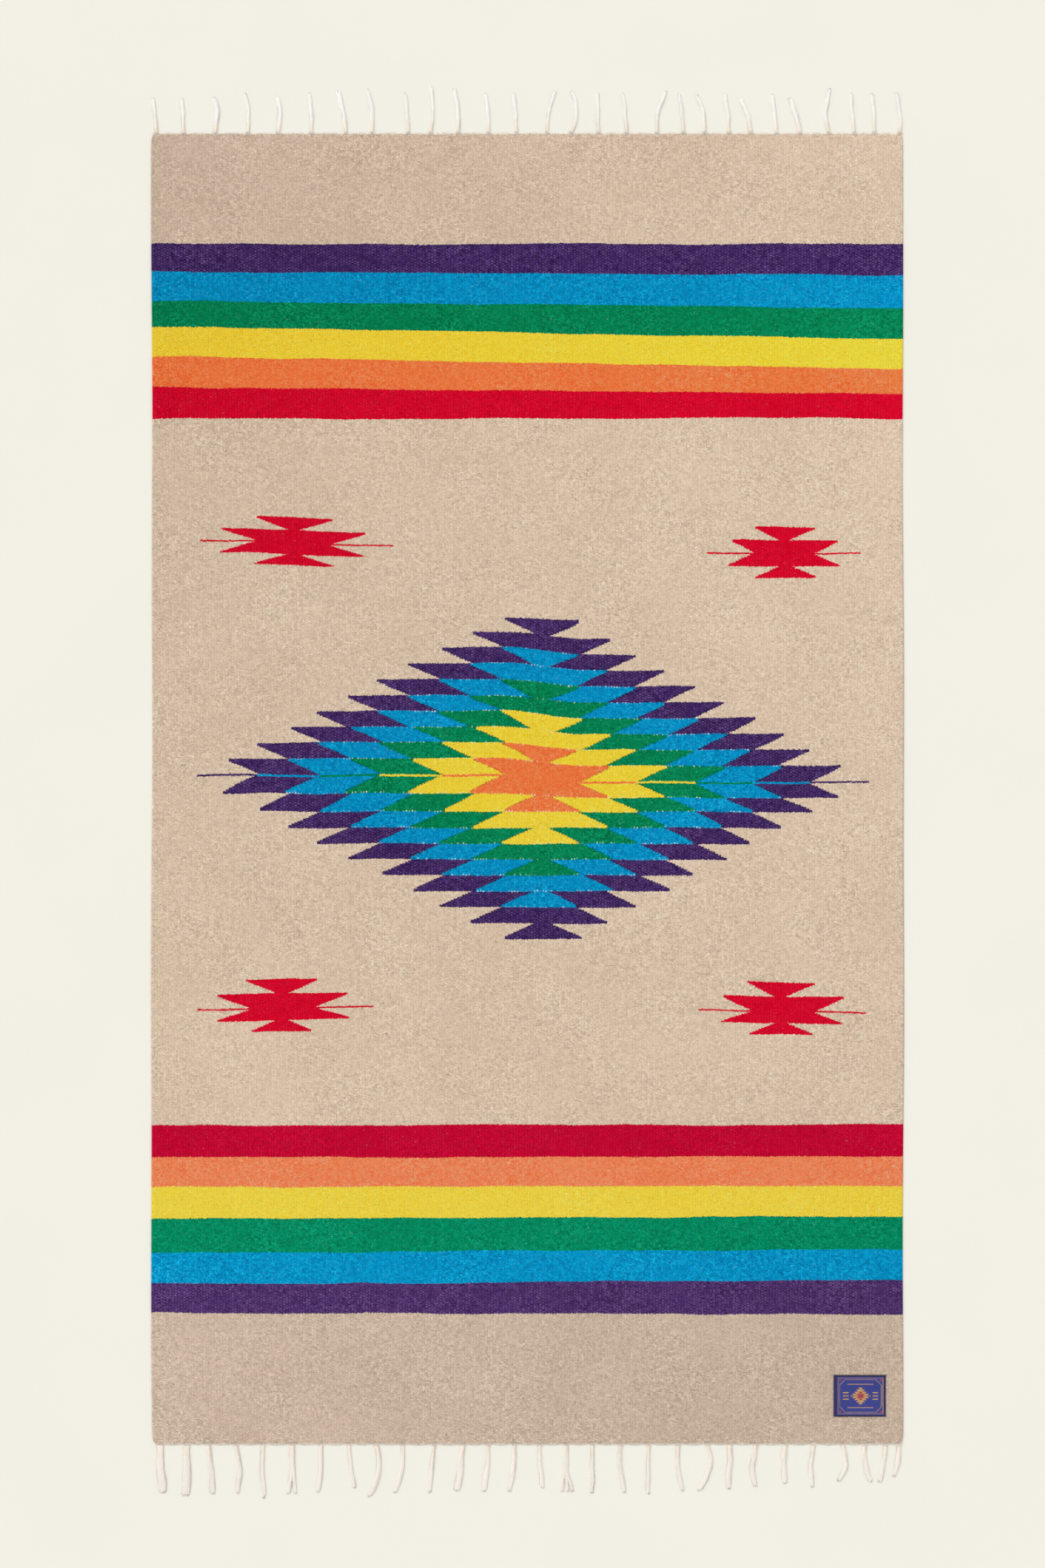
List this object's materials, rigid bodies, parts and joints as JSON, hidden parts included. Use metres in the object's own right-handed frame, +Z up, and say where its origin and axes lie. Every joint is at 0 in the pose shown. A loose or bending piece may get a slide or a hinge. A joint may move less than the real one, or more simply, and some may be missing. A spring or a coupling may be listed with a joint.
{
  "type": "mexican serape",
  "caption": "Hand-loomed serape laid flat: a natural ground with rainbow end bands, a stepped lozenge, corner motifs, warp tassels along its ends and a small woven label.",
  "frame": {"origin": "middle of the cloth's flat underside, on the surface it lies on", "axes": "+X across the cloth towards the selvage with the label, +Y along the warp towards the end away from the label, +Z up out of the surface"},
  "size_m": [1.2224, 2.2896, 0.0036],
  "materials": {
    "woven_cloth": "coarse weft-faced plain weave in matte spun yarn",
    "warp_fringe": "loose off-white warp yarn",
    "woven_label": "fine woven patch with a soft sheen"
  },
  "bodies": {
    "root": {"woven_panel": "woven_cloth", "label": "woven_label", "tassel_top_01": "warp_fringe", "tassel_top_02": "warp_fringe", "tassel_top_03": "warp_fringe", "tassel_top_04": "warp_fringe", "tassel_top_05": "warp_fringe", "tassel_top_06": "warp_fringe", "tassel_top_07": "warp_fringe", "tassel_top_08": "warp_fringe", "tassel_top_09": "warp_fringe", "tassel_top_10": "warp_fringe", "tassel_top_11": "warp_fringe", "tassel_top_12": "warp_fringe", "tassel_top_13": "warp_fringe", "tassel_top_14": "warp_fringe", "tassel_top_15": "warp_fringe", "tassel_top_16": "warp_fringe", "tassel_top_17": "warp_fringe", "tassel_top_18": "warp_fringe", "tassel_top_19": "warp_fringe", "tassel_top_20": "warp_fringe", "tassel_top_21": "warp_fringe", "tassel_top_22": "warp_fringe", "tassel_top_23": "warp_fringe", "tassel_top_24": "warp_fringe", "tassel_top_25": "warp_fringe", "tassel_top_26": "warp_fringe", "tassel_top_27": "warp_fringe", "tassel_top_28": "warp_fringe", "tassel_bottom_01": "warp_fringe", "tassel_bottom_02": "warp_fringe", "tassel_bottom_03": "warp_fringe", "tassel_bottom_04": "warp_fringe", "tassel_bottom_05": "warp_fringe", "tassel_bottom_06": "warp_fringe", "tassel_bottom_07": "warp_fringe", "tassel_bottom_08": "warp_fringe", "tassel_bottom_09": "warp_fringe", "tassel_bottom_10": "warp_fringe", "tassel_bottom_11": "warp_fringe", "tassel_bottom_12": "warp_fringe", "tassel_bottom_13": "warp_fringe", "tassel_bottom_14": "warp_fringe", "tassel_bottom_15": "warp_fringe", "tassel_bottom_16": "warp_fringe", "tassel_bottom_17": "warp_fringe", "tassel_bottom_18": "warp_fringe", "tassel_bottom_19": "warp_fringe", "tassel_bottom_20": "warp_fringe", "tassel_bottom_21": "warp_fringe", "tassel_bottom_22": "warp_fringe", "tassel_bottom_23": "warp_fringe", "tassel_bottom_24": "warp_fringe", "tassel_bottom_25": "warp_fringe", "tassel_bottom_26": "warp_fringe", "tassel_bottom_27": "warp_fringe", "tassel_bottom_28": "warp_fringe", "tassel_bottom_29": "warp_fringe"}
  },
  "joints": []
}
